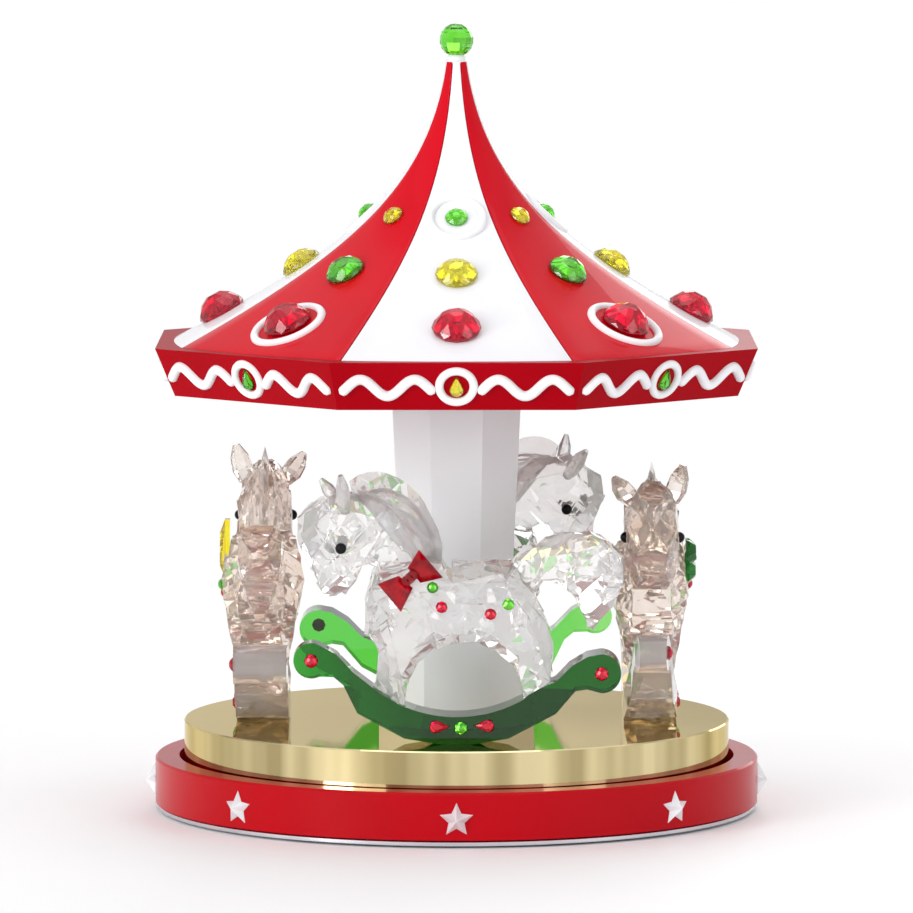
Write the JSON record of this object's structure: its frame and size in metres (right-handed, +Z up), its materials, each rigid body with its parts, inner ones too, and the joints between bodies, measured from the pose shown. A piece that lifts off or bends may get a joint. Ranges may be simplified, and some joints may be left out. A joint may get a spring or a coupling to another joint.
{
  "type": "carousel music box",
  "caption": "Wind-up carousel music box: crystal rocking horses ride a gilt turntable under a striped pagoda canopy on a red ring base.",
  "frame": {"origin": "centre of the underside, on the surface the music box stands on", "axes": "+Z up along the turning axis; -Y towards the horse with the red bow, which faces -X"},
  "size_m": [0.1466, 0.1466, 0.185],
  "materials": {
    "red_lacquer": "gloss",
    "white_lacquer": "gloss",
    "silver_plate": "polished",
    "zinc": "cast",
    "steel": "turned",
    "movement_brass": "satin",
    "spring_steel": "blued",
    "felt": "matt",
    "gilt": "mirror polished",
    "former_board": "matt",
    "icing_white": "gloss",
    "red_stone": "cut",
    "yellow_stone": "cut",
    "green_stone": "cut",
    "eye_black": "polished",
    "clear_crystal": "cut and polished",
    "champagne_crystal": "cut and polished",
    "green_glass": "polished",
    "champagne_glass": "polished"
  },
  "bodies": {
    "base": {"base_ring": "red_lacquer", "base_stars": "silver_plate", "bedplate": "zinc", "bedplate_screws": "steel", "movement_frame": "movement_brass", "comb": "steel", "comb_screws": "steel"},
    "foot": {"winding_plate": "silver_plate", "plate_pad": "felt", "plate_screws": "steel", "winding_arbor": "steel", "ratchet_wheel": "movement_brass"},
    "click": {"click_pawl": "steel"},
    "carousel": {"spring_barrel": "movement_brass", "mainspring": "spring_steel", "barrel_cover": "movement_brass", "drive_hub": "movement_brass", "turntable": "gilt", "turntable_screws": "steel", "column_plinth": "white_lacquer", "column_shaft": "white_lacquer", "tie_rod": "steel", "canopy_tray": "red_lacquer", "roof_former": "former_board", "roof_panels_red": "red_lacquer", "roof_panels_white": "white_lacquer", "finial_collar": "white_lacquer", "finial_ball": "green_stone", "skirt_piping": "icing_white", "roof_rings": "icing_white", "gems_red": "red_stone", "gems_yellow": "yellow_stone", "gems_green": "green_stone", "front_horse_body": "clear_crystal", "front_horse_mane": "clear_crystal", "front_horse_tail": "clear_crystal", "front_rocker": "green_glass", "red_bow": "red_stone", "right_horse_body": "champagne_crystal", "right_horse_mane": "champagne_crystal", "right_horse_tail": "champagne_crystal", "right_rocker": "champagne_glass", "green_clover": "green_stone", "back_horse_body": "clear_crystal", "back_horse_mane": "clear_crystal", "back_horse_tail": "clear_crystal", "back_rocker": "green_glass", "green_bow": "green_stone", "left_horse_body": "champagne_crystal", "left_horse_mane": "champagne_crystal", "left_horse_tail": "champagne_crystal", "left_rocker": "champagne_glass", "amber_bell": "yellow_stone", "horse_eyes": "eye_black", "horse_stones": "red_stone"},
    "cylinder": {"tune_cylinder": "movement_brass", "cylinder_arbor": "steel"},
    "governor_wheel": {"governor_wheel": "movement_brass"},
    "governor_worm": {"governor_worm": "steel"}
  },
  "joints": [
    {"name": "carousel_turn", "type": "hinge", "parent": "base", "child": "carousel", "pos_m": [0, 0, 0.0214], "axis": [0, 0, 1], "continuous": true},
    {"name": "winding_turn", "type": "hinge", "parent": "base", "child": "foot", "pos_m": [0, 0, 0], "axis": [0, 0, 1], "range_deg": [0, 1080]},
    {"name": "click_lift", "type": "hinge", "parent": "base", "child": "click", "pos_m": [0.00675, 0.01169, 0.0055], "axis": [0, 0, 1], "range_deg": [-12, 0]},
    {"name": "cylinder_turn", "type": "hinge", "parent": "base", "child": "cylinder", "pos_m": [-0.034, 0, 0.013], "axis": [1, 0, 0], "continuous": true},
    {"name": "governor_wheel_turn", "type": "hinge", "parent": "base", "child": "governor_wheel", "pos_m": [-0.0479, 0.0091, 0.013], "axis": [1, 0, 0], "continuous": true},
    {"name": "governor_worm_turn", "type": "hinge", "parent": "base", "child": "governor_worm", "pos_m": [-0.0479, 0.016, 0.013], "axis": [0, 0, 1], "continuous": true}
  ],
  "couplings": [
    {"joint": "cylinder_turn", "follows": "carousel_turn", "ratio": -4.5},
    {"joint": "governor_wheel_turn", "follows": "carousel_turn", "ratio": 9},
    {"joint": "governor_worm_turn", "follows": "carousel_turn", "ratio": -144}
  ]
}
